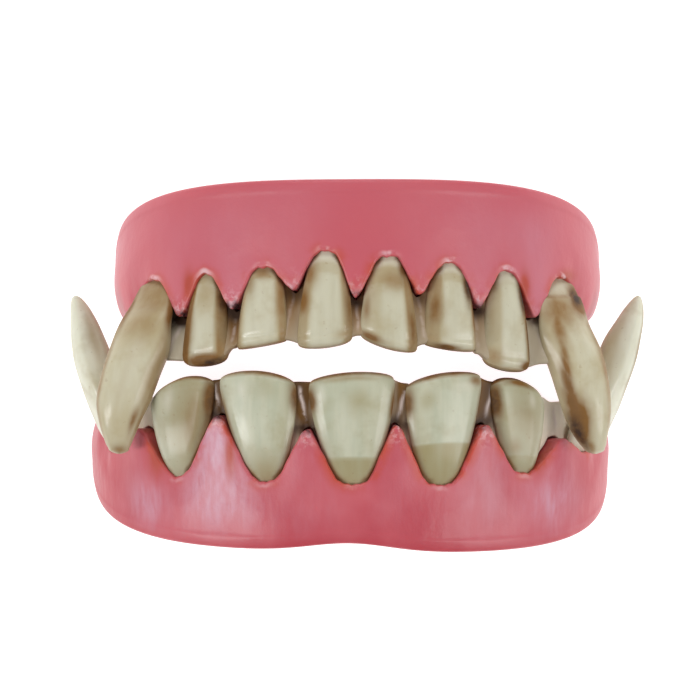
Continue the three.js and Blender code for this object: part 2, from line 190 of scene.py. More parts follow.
LOWER = SimpleNamespace(
    name="lower",
    up=-1,
    middle_x=-0.9,
    datum_y=-7.705,
    half_width=32.2,
    depth=26.0,
    flange_base=4.0,
    flange_rise=10.68,
    flange_power=3.85,
    notch=1.0,
    notch_width=7.0,
    deeper_right=0.53,
    fuller_right=0.12,
    shelf_bottom=-3.0,
    inner_wall_top=4.6,
    end_x=29.2,
    end_left=3.0,
    end_right=2.9,
    end_flat=0.0,
    neck_lit=0.4,
    end_lit=0.0,
    closed_x=31.4,
    brushed=0.45,
    band_x=28.6,
    band_height=-3.6,
    band_front=0.7,
    web_fade=-0.4,
    swell_x=25.6,
    swell_left=0.5,
    swell_right=0.5,
    bevel_soft=0.35,
    bulge=0.45,
    panel_round=0.5,
    crease=0.0,
    neck_arch=0.0,
    teeth=(
        # name, x, neck, edge, neck width, edge width, lean, slant, bow, corner, panel left, right, flat
        Tooth("left_2", -21.0, 5.7, -6.3, 3.4, 9.4, 0.5, -0.235, 1.4, 0.1, 0.6, 0.6, 0.1),
        Tooth("left_1", -10.3, 6.2, -7.1, 3.8, 9.9, -1.1, 0.06, 0.85, 0.2, 0.6, 0.6, 0.5),
        Tooth("middle", 0.4, 6.5, -6.95, 4.4, 10.8, -0.2, -0.06, 0.6, 0.2, 0.6, 0.6, 0.9),
        Tooth("right_1", 11.0, 6.6, -6.85, 4.4, 9.9, 0.5, -0.14, 0.7, 0.2, 0.6, 0.6, 0.9),
        Tooth("right_2", 21.2, 5.3, -6.1, 3.8, 8.0, -0.75, 0.25, 1.3, 0.45, 0.6, 0.6, 0.3),
    ),
    gaps=(
        # x, gum, web x, web, soiling and painted shade, brown, glint, lilac tint and painted sheen
        Gap(-25.6, -0.1, -24.6, -3.6, 0.0, 0.0, 0.4, 0.2),
        Gap(-16.0, -1.6, -16.5, -6.0, 1.0, 1.4, 1.0, 1.5),
        Gap(-5.2, 0.0, -6.2, -5.8, 1.0, 1.4, 1.0, 0.25),
        Gap(5.6, -0.5, 6.9, -5.6, 1.0, 1.1, 1.0, 0.15),
        Gap(16.3, -0.5, 17.5, -5.8, 1.0, 1.5, 1.0, 0.4),
        Gap(25.8, 1.15, 24.6, -3.3, 0.1, 0.0, 0.8, 0.2),
    ),
    # Painted red shade: warm bounce light in the shade beside some necks.
    red_shade_patches=(
        # x, height, x reach, height reach
        Patch(-23.4, 3.6, 0.9, 2.0),
        Patch(-14.4, 3.0, 0.6, 2.5),
        Patch(22.8, 3.8, 0.7, 1.5),
    ),
    # Patches of lilac tint with painted sheen.
    lilac_sheen_patches=(
        # x, height, x reach, height reach
        Patch(24.2, 8.5, 3.0, 3.2),
        Patch(-24.5, 9.0, 2.0, 2.5),
    ),
    stains={
        # collar, band, band end, left, right, edge
        "left_2": Stain(0.0, 0.5, 0.2, 0.2, 0.8, 0.8),
        "left_1": Stain(0.0, 0.6, 0.12, 0.1, 0.4, 0.8),
        "middle": Stain(0.0, 0.9, 0.234, 0.2, 0.3, 0.8),
        "right_1": Stain(0.0, 1.0, 0.373, 0.3, 0.2, 0.8),
        "right_2": Stain(0.0, 0.8, 0.2, 0.6, 0.1, 0.9),
    },
    # The pale spots are painted highlights.
    spots={
        # along, side, along reach, side reach, tan, brown, dark, pale
        "left_2": (
            Spot(0.55, 0.4, 0.6, 0.8, 1.0, 0.2),
            Spot(0.55, 0.55, 0.3, 0.35, 0.9, 0.5, 0.1),
            Spot(0.8, 0.92, 0.2, 0.18, 0.2, 1.3, 0.7),
            Spot(0.8, -0.3, 0.12, 0.16, pale=0.8),
            Spot(0.4, -0.6, 0.3, 0.3, pale=0.5),
        ),
        "left_1": (
            Spot(0.82, 0.95, 0.14, 0.14, 0.2, 1.3, 0.6),
            Spot(0.05, 0.1, 0.2, 0.8, 0.8, 0.3),
            Spot(0.85, 0.3, 0.1, 0.4, 0.4),
            Spot(0.6, -0.95, 0.3, 0.1, 0.3, 0.7, 0.3),
            Spot(0.83, -0.38, 0.1, 0.1, pale=0.9),
        ),
        "middle": (
            Spot(0.8, -0.95, 0.12, 0.14, 0.2, 1.3, 0.6),
            Spot(0.74, 0.15, 0.12, 0.3, 0.7),
            Spot(0.7, 0.97, 0.2, 0.09, 0.1, 1.0, 0.5),
            Spot(0.95, 0.0, 0.03, 0.7, 0.5, 0.4),
            Spot(0.83, -0.68, 0.1, 0.1, pale=0.9),
            Spot(0.6, -0.2, 0.2, 0.3, pale=0.35),
        ),
        "right_1": (
            Spot(0.8, -0.93, 0.14, 0.14, 0.1, 1.3, 0.6),
            Spot(0.78, -0.45, 0.1, 0.25, 0.6),
            Spot(0.93, 0.8, 0.05, 0.16, 0.2, 1.1, 0.2),
            Spot(0.6, 0.97, 0.25, 0.08, 0.1, 0.9, 0.4),
            Spot(0.88, 0.5, 0.05, 0.25, pale=0.7),
        ),
        "right_2": (
            Spot(0.55, 0.0, 0.6, 1.0, 0.8, 0.1),
            Spot(0.78, -0.9, 0.18, 0.18, 0.1, 1.4, 0.9),
            Spot(0.6, 0.1, 0.25, 0.5, 0.9, 0.25),
            Spot(0.28, -0.4, 0.1, 0.4, 0.6, 0.4),
            Spot(0.95, -0.1, 0.035, 0.5, 0.3, 1.1, 0.2),
            Spot(0.8, 0.35, 0.08, 0.12, pale=0.7),
            Spot(0.4, 0.6, 0.3, 0.25, pale=0.4),
        ),
    },
)

FANG_ROWS = (
    # height, left x, left width, right x, right width, z, thickness
    Horn(3.4, 24.3, 2.2, 24.6, 2.6, 12.8, 1.8),
    Horn(1.4, 24.65, 4.1, 24.7, 4.4, 14.4, 3.2),
    Horn(-0.4, 24.95, 5.3, 24.9, 5.4, 15.6, 3.8),
    Horn(-2.6, 25.7, 6.4, 25.1, 6.2, 16.8, 4.2),
    Horn(-6.0, 26.45, 7.5, 26.05, 7.2, 17.9, 4.6),
    Horn(-9.1, 27.5, 7.3, 26.95, 6.95, 18.4, 4.6),
    Horn(-12.6, 28.45, 6.5, 27.7, 6.2, 18.6, 4.2),
    Horn(-14.6, 28.8, 5.2, 28.0, 5.4, 18.6, 3.7),
    Horn(-16.8, 28.95, 3.6, 28.4, 3.8, 18.5, 2.8),
    Horn(-17.8, 28.95, 2.7, 28.7, 2.8, 18.4, 2.0),
    Horn(-18.4, 28.9, 1.7, 28.8, 1.7, 18.4, 1.1),
    Horn(-18.6, 28.9, 0.5, 28.8, 0.5, 18.4, 0.3),
)

TUSK_ROWS = (
    # height, left x, left width, right x, right width, z, thickness
    Horn(3.4, 27.0, 2.4, 27.6, 2.4, 10.0, 1.6),
    Horn(1.6, 27.8, 4.4, 28.6, 4.4, 11.0, 3.2),
    Horn(-1.6, 29.0, 5.3, 30.0, 5.3, 11.4, 4.2),
    Horn(-5.0, 30.3, 5.2, 31.3, 5.3, 11.0, 4.2),
    Horn(-8.6, 31.5, 4.9, 32.7, 5.0, 10.3, 3.8),
    Horn(-11.0, 32.15, 4.2, 33.45, 4.5, 9.8, 3.2),
    Horn(-13.2, 32.7, 3.25, 34.35, 3.4, 9.3, 2.6),
    Horn(-15.0, 33.25, 2.15, 34.98, 2.1, 8.9, 1.7),
    Horn(-15.7, 33.5, 1.5, 35.22, 1.35, 8.8, 1.2),
    Horn(-16.1, 33.65, 0.9, 35.35, 0.75, 8.8, 0.7),
    Horn(-16.3, 33.7, 0.2, 35.4, 0.2, 8.8, 0.2),
)

# Spots on the fangs and tusks, by share of the length from the root and by unit distance across: minus is
# the side next to the middle of the face. A spot is 0 in the columns that are left out.
# The pale spots are painted highlights.
FANG_SPOTS = {
    # along, side, along reach, side reach, tan, brown, dark, pale
    "left": (
        Spot(0.12, 0.0, 0.12, 1.6, 1.1, 0.6, 0.1),
        Spot(0.2, 0.95, 0.14, 0.16, 0.3, 1.2, 0.2),
        Spot(0.2, -0.9, 0.14, 0.2, 0.3, 1.4, 0.3),
        Spot(0.28, 0.1, 0.12, 0.9, 1.0, 0.3),
        Spot(0.5, -0.75, 0.3, 0.25, 0.8, 0.5),
        Spot(0.81, -0.6, 0.07, 0.16, 0.2, 1.0, 0.1),
        Spot(0.75, -0.92, 0.25, 0.14, 0.4, 0.7),
        Spot(0.6, 0.95, 0.4, 0.08, 0.3, 0.7, 0.1),
        Spot(0.98, 0.0, 0.03, 0.8, 0.4, 0.8, 0.1),
        Spot(0.65, 0.2, 0.25, 0.15, 0.5),
        Spot(0.85, 0.1, 0.14, 1.0, 0.45),
        Spot(0.55, 0.15, 0.22, 0.3, pale=0.5),
    ),
    "right": (
        Spot(0.2, -0.1, 0.09, 0.8, 0.8, 0.9),
        Spot(0.3, -0.25, 0.12, 0.25, 0.5, 1.0),
        Spot(0.42, -0.3, 0.12, 0.14, 0.3, 1.0, 0.1),
        Spot(0.52, -0.38, 0.1, 0.13, 0.3, 1.1, 0.1),
        Spot(0.62, -0.5, 0.1, 0.2, 0.3, 1.4, 0.3),
        Spot(0.72, -0.55, 0.1, 0.3, 0.3, 1.5, 0.3),
        Spot(0.82, -0.45, 0.12, 0.5, 0.0, 1.8, 0.4),
        Spot(0.88, -0.66, 0.1, 0.38, 0.0, 1.2, 1.2),
        Spot(0.95, -0.25, 0.05, 0.35, 0.5, 0.8, 0.1),
        Spot(0.45, -0.8, 0.35, 0.35, 0.6, 0.15),
        Spot(0.15, 0.8, 0.09, 0.45, 0.0, 1.6, 0.3),
        Spot(0.14, 0.75, 0.05, 0.25, 0.0, 1.6, 1.3),
        Spot(0.5, 0.95, 0.4, 0.12, 0.5, 0.7, 0.1),
    ),
}
TUSK_SPOTS = {
    # along, side, along reach, side reach, tan, brown, dark, pale
    "left": (
        Spot(0.72, -0.35, 0.16, 0.3, 0.5, 0.1),
        Spot(0.5, -0.8, 0.4, 0.3, 0.4, 0.1),
    ),
    "right": (
        Spot(0.6, -0.6, 0.35, 0.6, 0.7),
        Spot(0.55, 0.45, 0.3, 0.16, pale=0.6),
        Spot(0.7, 0.95, 0.3, 0.06, 0.4, 0.5, 0.1),
    ),
}

# Share of a tooth's length from neck to edge, share of its widening, and its front and back.
TOOTH_ALONG = (-0.12, 0.0, 0.2, 0.5, 0.8, 0.86, 0.92, 0.96, 0.985, 1.0)
TOOTH_WIDTH = (-0.15, 0.0, 0.36, 0.74, 0.97, 1.0, 1.0, 0.97, 0.92, 0.84)
TOOTH_FRONT = (-1.0, -0.6, -0.05, 0.4, 0.5, 0.5, 0.44, 0.25, -0.05, -0.7)
TOOTH_BACK = (-2.1, -2.2, -2.2, -2.2, -2.15, -2.1, -2.05, -1.95, -1.75, -1.2)

# Unit outlines across and deep, for the right hand, and how round their ridges are. A fang's ridge is on
# its inner side, a tusk's on its outer side. The collar is 1 where a fang has one.
FANG_OUTLINES = {
    "left": (
        (1.0, -0.1), (0.88, 0.5), (0.5, 0.88), (0.0, 1.0), (-0.5, 0.86), (-0.84, 0.46),
        (-1.0, -0.1), (-0.85, -0.7), (-0.35, -1.0), (0.2, -1.02), (0.65, -0.85), (0.92, -0.5),
    ),
    "right": (
        (1.0, -0.1), (0.88, 0.5), (0.5, 0.9), (0.0, 1.02), (-0.3, 0.98), (-0.68, 0.64),
        (-1.0, 0.25), (-0.95, -0.5), (-0.4, -1.0), (0.2, -1.02), (0.65, -0.85), (0.92, -0.5),
    ),
}
TUSK_OUTLINE = (
    (1.0, -0.15), (0.75, 0.55), (0.4, 0.98), (0.1, 0.95), (-0.35, 0.75), (-0.8, 0.4),
    (-1.0, -0.1), (-0.85, -0.7), (-0.4, -1.0), (0.1, -1.02), (0.55, -0.9), (0.88, -0.6),
)
FANG_RIDGE_ROUND = {"left": 0.6, "right": 0.25}
FANG_COLLAR = {"left": 0.0, "right": 1.0}
TUSK_RIDGE_ROUND = 0.3

# Teeth: their share of the arch's turn, places along them, ends of their stains along them and across
# them, and ends of their stains and painted shade below the gum.
TOOTH_FACING = 0.75
CROWDED_FROM = 0.84
CREASE_AT = 0.86
CREASE_REACH = 0.035
COLLAR_FADE = (0.12, 0.06)
BAND_SOFT = 0.02
BEVEL_RISE = (0.0, 0.2)
EDGE_RISE = (0.94, 0.99)
FLANK_RISE = (0.25, 0.6)
SIDE_RISE = (0.92, 1.0)
SEAM_FADE = (1.0, 0.2)
CREVICE_FADE = (0.6, 0.15)
STAINS = ("pale", "tan", "brown", "dark")

# Gums: the margin, the roll at the arch's ends, the rim, the lean of the face and the walls behind it.
CLOSED_LIP = 0.6
MARGIN_ROUND = (0.4, 0.2)
MARGIN_WAVES = (
    # height, radians a millimetre, phase
    (0.07, 2.9, 0.7),
    (0.05, 6.7, 0.0),
)
LIP_BEAD_REACH = 1.0
END_ROLL = 2.0
END_ROLL_HEIGHT = 6.0
RIM_HEIGHT = 0.9
RIM_SHARE = 0.25
RIM_LEAN = 0.2
RIM_BEAD = 0.05
RIM_BEAD_BELOW = 1.3
RIM_BEAD_REACH = 0.28
FACE_LEAN = 0.3
LEAN_RISE = (0.4, 1.0)
FLANGE_WALL = 2.4
SHELF_WALL = 4.9
WALL_TAPER = 6.4
TAPER_BELOW = 3.0
ROW_DEPTH = 3.3
CHANNEL_WIDTH = 7.6
INNER_WALL = 1.8
SHELF_THICKNESS = 1.8

# Reaches of the forms and tints round a papilla, with their painted sheen and shade, and how far over it
# they fade.
BULGE_REACH = 2.8
BULGE_FADE = (11.0, 2.0)
GRIME_SHADE_REACH = 1.3
GRIME_SHADE_HEIGHT = 1.8
LILAC_SHEEN_REACH = 1.6
LILAC_SHEEN_FAN = 0.28
LILAC_SHEEN_FADE = (16.0, 9.0)
PATCH_LILAC_SHEEN = 0.9
NECK_REACH = 0.9
FAR_FROM_MARGIN = 9.0

# Webs: the section, the free edge, the swell near the row's ends, the stains with their painted shade, and
# the ridges with their painted glint.
BAND_BACK = 3.0
BAND_TOP = 1.4
BAND_EDGE = 1.6
BAND_PAST = 2.15
BAND_TUCK = 0.3
WEB_LEAST = 2.0
WEB_ROUND = (0.6, 0.3)
WEB_CORNER = 0.8
WEB_BEHIND = 0.55
SWELL_REACH = 2.2
SWELL_RISE = (1.0, 4.5)
WEB_GRIME_SHADE_BELOW = 0.3
WEB_GRIME_SHADE_REACH = 2.0
WEB_GRIME_SHADE_HEIGHT = 1.1
WEB_BROWN_REACH = 2.4
RIDGE_WAVE = 0.05
RIDGE_RATE = 3.0
GLINT_WIDTH = 0.2
GLINT_HEIGHT = 0.08
GLINT_RISE = (0.3, 1.2)

# Fangs and tusks: the collar near the root and the shear at it.
COLLAR_HEIGHT = 0.5
COLLAR_SOFT = 0.15
COLLAR_STEP = 0.22
COLLAR_DEPTH = 0.28
COLLAR_PALE = 0.4
COLLAR_CREASE = 0.3
CREASE_BROWN = 0.8
ROOT_TURN = 1.1
ROOT_TURN_FADE = (0.55, 0.0)

# Steps of the meshes; a crowding is the power by which rows draw together.
FINE_STEPS = 4000
GUM_STATIONS = 520
GUM_FACE_STEPS = 72
GUM_CORNER_STEPS = 7
MARGIN_REACH = 26
MARGIN_CROWDING = 1.4
WEB_STATIONS = 420
WEB_FRONT_STEPS = 24
WEB_CORNER_STEPS = 9
TOOTH_STEPS = 72
HORN_STEPS = 128
TIP_CROWDING = 1.35
AROUND = 96
OUTLINE_CORNER_STEPS = 8
CORNER_SHARE = 0.48
SHARP_DEGREES = 50.0

# The stage, in metres: the lights face the aim.
FLOOR_HALF = 1.5
AIM = (0.0, 0.0, 0.015)
CAMERA_XY = (-0.0009, 0.001895)
SENSOR_WIDTH = 36.0
WORLD_LIGHT = 0.25
WHITE = (1.0, 1.0, 1.0, 1.0)
SOFTBOXES = (
    # name, place, width and height, share of the light setting
    ("left_softbox", (-0.45, -0.12, 0.38), (0.1, 0.35), 1.0),
    ("right_softbox", (0.45, -0.12, 0.38), (0.2, 0.4), 1.0),
    ("top_softbox", (0.0, 0.5, 0.36), (0.6, 0.3), 0.9),
)


def smoothstep(value, start, end):
    """0 before start, 1 after end and an S curve between; falling where the end is the lower."""
    share = np.clip((value - start) / (end - start), 0.0, 1.0)
    return share * share * (3.0 - 2.0 * share)


def bell(value, centre, reach):
    """1 at the centre, falling as exp(-d squared), with d the distance in reaches."""
    return np.exp(-(((value - centre) / reach) ** 2))


def through(stops, values, at):
    """A smooth curve through a table: cubic pieces between rows, whose slopes are the rows' differences."""
    stops = np.asarray(stops, float)
    values = np.asarray(values, float)
    slopes = np.gradient(values, stops)
    row = np.clip(np.searchsorted(stops, at, side="right") - 1, 0, len(stops) - 2)
    width = stops[row + 1] - stops[row]
    t = np.clip((at - stops[row]) / width, 0.0, 1.0)
    start = (1 + 2 * t) * (1 - t) ** 2 * values[row] + t * (1 - t) ** 2 * width * slopes[row]
    end = t**2 * (3 - 2 * t) * values[row + 1] + t**2 * (t - 1) * width * slopes[row + 1]
    return start + end


def rounded(corners, radii, steps):
    """Rounds each corner of closed outlines: a quadratic curve from a radius before it to a radius after.

    The corners are an array (..., corner, 2), and the radii give one radius a corner, which takes up at
    most the corner share of a side."""
    before = np.roll(corners, 1, axis=-2) - corners
    after = np.roll(corners, -1, axis=-2) - corners
    before_length = np.linalg.norm(before, axis=-1, keepdims=True)
    after_length = np.linalg.norm(after, axis=-1, keepdims=True)
    most = CORNER_SHARE * np.minimum(before_length, after_length)
    radius = np.minimum(np.asarray(radii)[:, None], most)
    start = (corners + radius * before / before_length)[..., None, :]
    end = (corners + radius * after / after_length)[..., None, :]
    t = np.linspace(0.0, 1.0, steps)[:, None]
    return (1 - t) ** 2 * start + 2 * t * (1 - t) * corners[..., None, :] + t**2 * end


def rounded_section(corners, steps):
    """A section's corners, rounded at every station; the corners are rows of out, height and radius."""
    out, height, radii = zip(*corners)
    out = np.stack(np.broadcast_arrays(*out), axis=-1)
    height = np.stack(np.broadcast_arrays(*height), axis=-1)
    return rounded(np.stack(np.broadcast_arrays(out, height), axis=-1), radii, steps)


def unit_outline(corners, radius):
    """A closed outline with rounded corners, as AROUND points spaced evenly along it."""
    corners = np.array(corners)
    points = rounded(corners, [radius] * len(corners), OUTLINE_CORNER_STEPS).reshape(-1, 2)
    closed = np.vstack([points, points[:1]])
    length = np.concatenate([[0.0], np.cumsum(np.linalg.norm(np.diff(closed, axis=0), axis=1))])
    at = np.linspace(0.0, length[-1], AROUND, endpoint=False)
    return np.interp(at, length, closed[:, 0]), np.interp(at, length, closed[:, 1])


def in_row(plate, x, height, z):
    """Plate millimetres to metres in the row frame: x shifted, height up or down from the datum."""
    return np.stack([x + plate.middle_x, plate.up * height + plate.datum_y, z], axis=-1) * MM


def arch(plate, turn, out):
    """x and z of points set out from the arch's outer ellipse, along its normal."""
    normal_x = plate.depth * np.sin(turn)
    normal_z = plate.half_width * np.cos(turn)
    size = np.hypot(normal_x, normal_z)
    x = plate.half_width * np.sin(turn) + out * normal_x / size
    z = plate.depth * np.cos(turn) + out * normal_z / size
    return x, z


def stations(plate, count, reach=math.pi / 2):
    """Turns from -reach to reach, spaced evenly by length along the outer ellipse, and those lengths."""
    turn = np.linspace(-reach, reach, FINE_STEPS)
    speed = np.hypot(plate.half_width * np.cos(turn), plate.depth * np.sin(turn))
    length = np.concatenate([[0.0], np.cumsum((speed[1:] + speed[:-1]) / 2 * np.diff(turn))])
    even = np.linspace(0.0, length[-1], count)
    return np.interp(even, length, turn), even


def scallop(rows, x, high_round, low_round):
    """Heights along x through rows of high and low points, with straight runs between them.

    The slope grows evenly over the first share of a run, by its higher row, and fades over the last."""
    at, height = np.array(sorted(rows)).T
    row = np.clip(np.searchsorted(at, x) - 1, 0, len(at) - 2)
    left = height[row]
    right = height[row + 1]
    share = np.clip((x - at[row]) / (at[row + 1] - at[row]), 0.0, 1.0)
    share = np.where(left >= right, share, 1.0 - share)
    drop = np.where(share < high_round, share**2 / (2 * high_round), share - high_round / 2)
    drop -= np.clip(share - (1.0 - low_round), 0.0, None) ** 2 / (2 * low_round)
    drop /= 1.0 - high_round / 2 - low_round / 2
    high = np.maximum(left, right)
    return high + (np.minimum(left, right) - high) * drop


def margin_height(plate, x):
    """The gum's scalloped margin: high at each neck, low at each papilla, closed at the arch's ends.

    A neck has two rows, one flat to each side of it, or one row where its flat is 0. Two small waves
    along x make the margin uneven."""
    closed = plate.shelf_bottom + CLOSED_LIP
    rows = {(-plate.closed_x, closed), (plate.closed_x, closed)}
    rows |= {(gap.x, gap.gum) for gap in plate.gaps}
    for sign in (-1, 1):
        flat = sign * plate.end_flat
        rows |= {(-plate.end_x + flat, plate.end_left), (plate.end_x + flat, plate.end_right)}
        rows |= {(tooth.x + sign * tooth.flat, tooth.neck) for tooth in plate.teeth}
    margin = scallop(rows, x, *MARGIN_ROUND)
    for size, rate, phase in MARGIN_WAVES:
        margin = margin + size * np.sin(rate * x + phase)
    return margin


def web_height(plate, x):
    """The web's free edge: a row at each gap, and three rows a little behind each tooth's edge."""
    rows = [(-plate.band_x, plate.band_height), (plate.band_x, plate.band_height)]
    rows += [(gap.web_x, gap.web) for gap in plate.gaps]
    for tooth in plate.teeth:
        facing = math.cos(TOOTH_FACING * math.asin(tooth.x / plate.half_width))
        middle = tooth.x + tooth.lean * facing
        half = 0.5 * WEB_CORNER * tooth.edge_width
        corner = tooth.edge + tooth.bow * WEB_CORNER**2 + WEB_BEHIND
        rows.append((middle - half * facing, corner - tooth.slant * half))
        rows.append((middle, tooth.edge + 3 * WEB_BEHIND))
        rows.append((middle + half * facing, corner + tooth.slant * half))
    return scallop(rows, x, *WEB_ROUND)


def flange_height(plate, turn):
    """The flange's top: a superellipse over the arch, less a notch at its middle.

    The superellipse's power and the height change evenly from the left to the right."""
    side = np.sin(turn)
    power = plate.flange_power + plate.fuller_right * side
    rise = (1.0 - np.abs(side) ** power) ** (1.0 / power)
    notch = plate.notch * bell(plate.half_width * side, 0.0, plate.notch_width)
    return plate.flange_base + plate.flange_rise * rise - notch + plate.deeper_right * side


def margin_distance(length, lip, height):
    """Distance of each point on the unrolled outer face from the margin, over the stations near it."""
    count = len(length)
    station = np.arange(count)
    nearest = np.full(height.shape, np.inf)
    for offset in range(-MARGIN_REACH, MARGIN_REACH):
        row = np.clip(station + offset, 0, count - 2)
        run = (length[row + 1] - length[row])[:, None]
        climb = (lip[row + 1] - lip[row])[:, None]
        along = (length - length[row])[:, None]
        above = height - lip[row][:, None]
        t = np.clip((along * run + above * climb) / (run**2 + climb**2), 0.0, 1.0)
        nearest = np.minimum(nearest, np.hypot(along - t * run, above - t * climb))
    return nearest


def patches(rows, x, height):
    """Soft oval patches on a gum's face: for each row a bell along x times a bell up the face."""
    total = np.zeros(height.shape)
    for row in rows:
        total += bell(x, row.x, row.x_reach)[:, None] * bell(height, row.height, row.height_reach)
    return total


def gum_tints(plate, x, length, height):
    """Where a gum's face has soiling and painted shade, a lilac tint with painted sheen, and painted red
    shade.

    Soiling and painted shade lie round each papilla. A lilac tint with painted sheen fans out from it
    towards the flange, and some patches take it too. The painted red shade, warm bounce light beside
    the teeth, is in patches."""
    grime = np.zeros(height.shape)
    bloom = PATCH_LILAC_SHEEN * patches(plate.lilac_sheen_patches, x, height)
    for gap in plate.gaps:
        beside = (length - np.interp(gap.x, x, length))[:, None]
        above = height - gap.gum
        grime += gap.grime * bell(beside, 0.0, GRIME_SHADE_REACH) * bell(above, 0.0, GRIME_SHADE_HEIGHT)
        fan = LILAC_SHEEN_REACH + LILAC_SHEEN_FAN * np.clip(above, 0.0, None)
        bloom += gap.bloom * bell(beside, 0.0, fan) * smoothstep(above, *LILAC_SHEEN_FADE)
    return {"papilla": grime, "bloom": bloom, "red_shade": patches(plate.red_shade_patches, x, height)}


def gum_surface(plate, lip_roll, lip_bead):
    """A gum: a closed section carried along the arch.

    The outer face runs from the margin to the flange. Its lip is a quarter circle by distance from the
    margin, with a low bead behind it, and a bulge fades out from each papilla towards the flange. Over
    the rim the section goes down the channel, up its inner wall and back under the shelf, with rounded
    corners. The mesh keeps the distance from the margin, the tints with their painted sheen and shade,
    and how near a neck is, which places painted highlights."""
    turn, length = stations(plate, GUM_STATIONS)
    x = plate.half_width * np.sin(turn)
    lip = margin_height(plate, x)
    edge = flange_height(plate, turn)
    at_end = smoothstep(np.abs(x), plate.end_x, plate.closed_x)[:, None]
    rim = np.minimum(RIM_HEIGHT, RIM_SHARE * (edge - lip))
    share = np.linspace(0.0, 1.0, GUM_FACE_STEPS) ** MARGIN_CROWDING
    above = (edge - rim - lip)[:, None] * share
    height = lip[:, None] + above
    near = margin_distance(length, lip, height)
    inside = np.clip(1.0 - near / lip_roll, 0.0, 1.0)
    out = lip_roll * (np.sqrt(1.0 - inside**2) - 1.0) + lip_bead * bell(near, lip_roll, LIP_BEAD_REACH)
    low = np.clip(1.0 - above / END_ROLL_HEIGHT, 0.0, 1.0)
    out += (END_ROLL * (np.sqrt(1.0 - low**2) - 1.0) - out) * at_end
    out -= FACE_LEAN * smoothstep(above / (edge - lip)[:, None], *LEAN_RISE)
    out += RIM_BEAD * bell(edge[:, None] - height, RIM_BEAD_BELOW, RIM_BEAD_REACH)
    for gap in plate.gaps:
        beside = (length - np.interp(gap.x, x, length))[:, None]
        out += plate.bulge * bell(beside, 0.0, BULGE_REACH) * smoothstep(height - gap.gum, *BULGE_FADE)
    shelf_top = plate.shelf_bottom + SHELF_THICKNESS
    inner = SHELF_WALL + CHANNEL_WIDTH
    corners = [
        # out, height, radius
        (out[:, -1], height[:, -1], 0.0),
        (out[:, -1] - RIM_LEAN, edge, 0.9),
        (-FLANGE_WALL, edge, 0.8),
        (-SHELF_WALL, np.minimum(WALL_TAPER, edge - TAPER_BELOW), 1.5),
        (-SHELF_WALL, shelf_top, 0.8),
        (-inner, shelf_top, 0.8),
        (-inner, plate.inner_wall_top, 0.6),
        (-inner - INNER_WALL, plate.inner_wall_top, 0.6),
        (-inner - INNER_WALL, plate.shelf_bottom, 0.6),
        (-ROW_DEPTH, plate.shelf_bottom, 0.25),
        (-ROW_DEPTH, lip, 0.25),
        (out[:, 0], lip, 0.0),
    ]
    behind = rounded_section(corners, GUM_CORNER_STEPS)[:, 1:-1].reshape(GUM_STATIONS, -1, 2)
    section = np.concatenate([np.stack([out, height], axis=-1), behind], axis=1)
    section_x, section_z = arch(plate, turn[:, None], section[..., 0])
    plain = np.zeros(behind.shape[:2])
    near = np.concatenate([near, plain + FAR_FROM_MARGIN], axis=1)
    # The lip's wall by the teeth counts as margin, so it takes the margin's red and its painted shade.
    near[:, -GUM_CORNER_STEPS:] = 0.0
    values = {"margin": near + FAR_FROM_MARGIN * at_end}
    for key, tint in gum_tints(plate, x, length, height).items():
        values[key] = np.concatenate([tint, plain], axis=1)
    # How near a neck is; it places the painted highlights along the margin.
    neck = plate.neck_lit * sum(bell(x, tooth.x, NECK_REACH) for tooth in plate.teeth)
    neck += plate.end_lit * bell(np.abs(x), plate.end_x, NECK_REACH)
    values["neck"] = neck[:, None] + np.zeros(near.shape)
    return in_row(plate, section_x, section[..., 1], section_z), values


